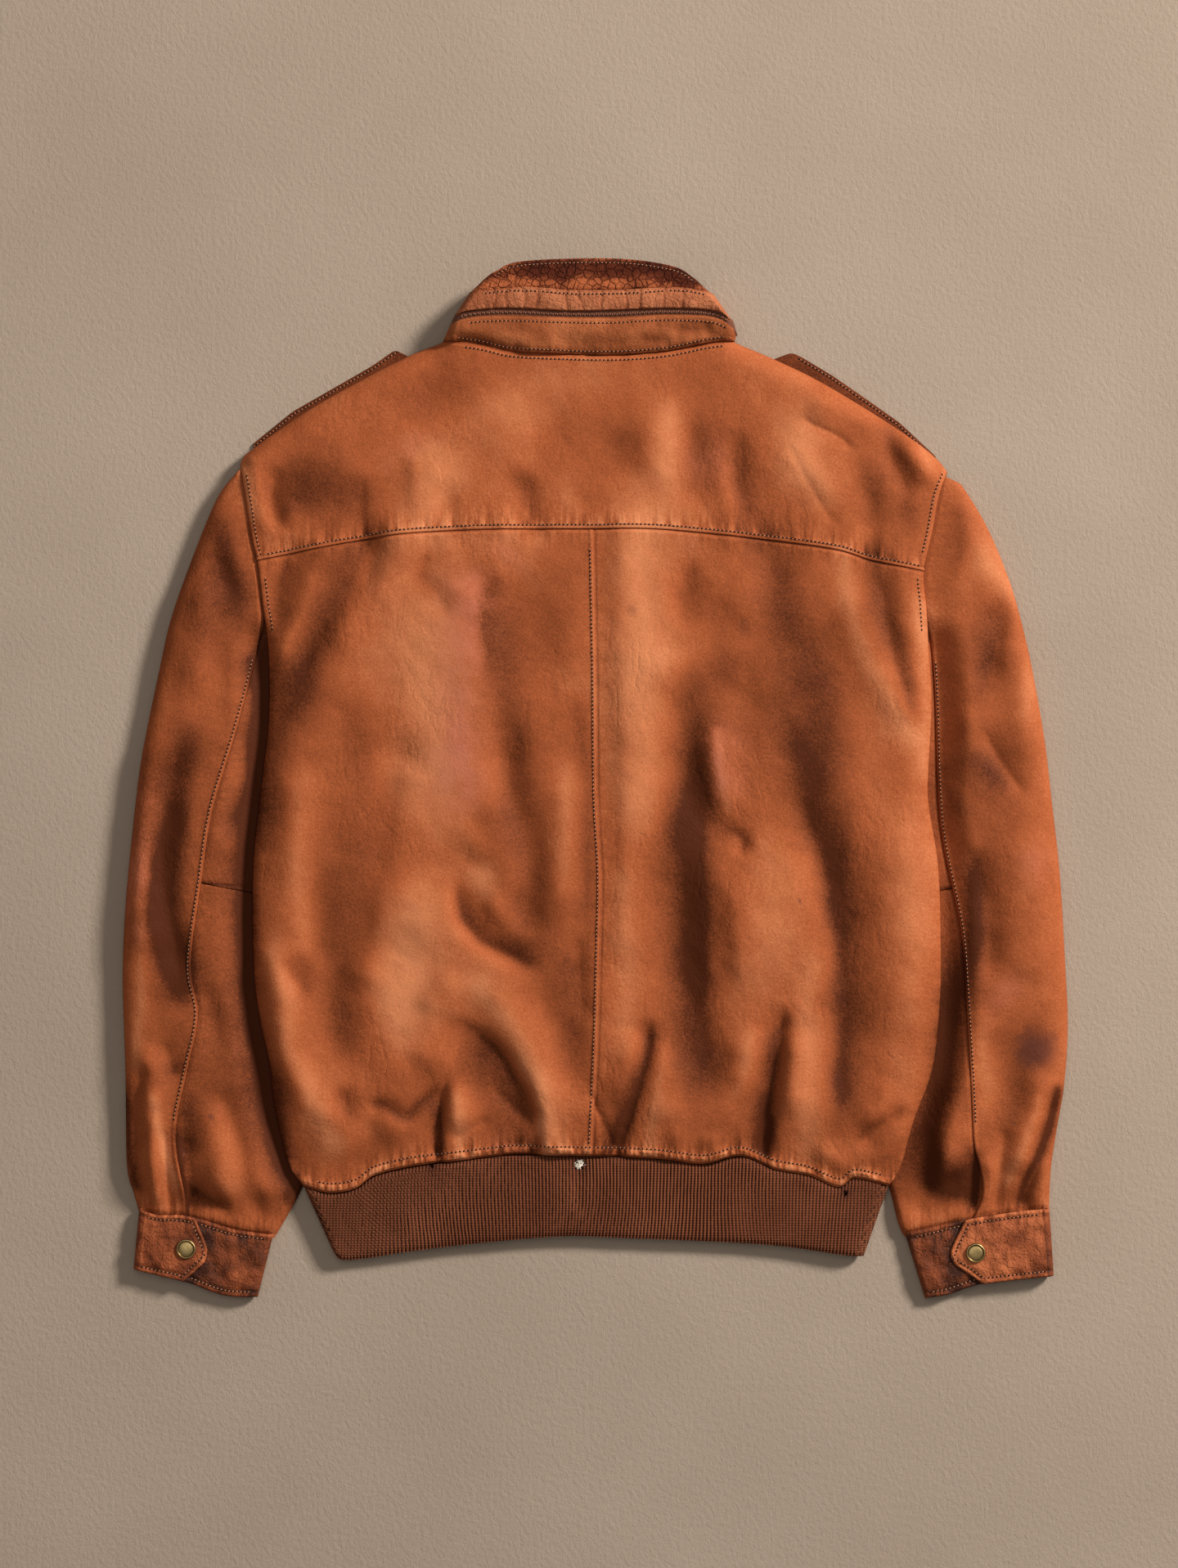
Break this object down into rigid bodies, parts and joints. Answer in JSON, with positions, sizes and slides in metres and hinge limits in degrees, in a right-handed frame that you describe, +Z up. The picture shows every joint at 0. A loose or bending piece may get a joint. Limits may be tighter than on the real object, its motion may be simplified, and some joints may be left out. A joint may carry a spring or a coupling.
{
  "type": "worn leather jacket",
  "caption": "Worn tan leather blouson laid flat face down, with yoke, zipped stand collar, shoulder straps, snapped cuffs and a knitted waistband.",
  "frame": {"origin": "on the surface it lies on, below the middle of the laid-out jacket", "axes": "+Z up, away from the surface and out of the jacket's back; +Y from the hem towards the collar; +X to the wearer's right"},
  "size_m": [0.7218, 0.7938, 0.0302],
  "materials": {
    "tan_leather": "matte, sueded, worn and mottled",
    "dark_leather": "matte to greasy, handled and cracked",
    "rib_knit": "ribbed knit, matte",
    "zip_tape": "woven tape with moulded teeth",
    "antique_brass": "antiqued, dull"
  },
  "bodies": {
    "root": {"yoke_back": "tan_leather", "back_left_panel": "tan_leather", "back_right_panel": "tan_leather", "front_left_panel": "tan_leather", "front_right_panel": "tan_leather", "front_fly": "dark_leather", "sleeve_left_outer": "tan_leather", "sleeve_left_under_upper": "tan_leather", "sleeve_left_under_lower": "tan_leather", "sleeve_right_outer": "tan_leather", "sleeve_right_under_upper": "tan_leather", "sleeve_right_under_lower": "tan_leather", "cuff_left": "tan_leather", "cuff_right": "tan_leather", "snap_left": "antique_brass", "snap_right": "antique_brass", "waist_rib": "rib_knit", "collar_stand": "dark_leather", "collar_zip": "zip_tape", "collar_band": "tan_leather", "collar_top": "dark_leather", "epaulette_left": "dark_leather", "epaulette_right": "dark_leather"}
  },
  "joints": []
}
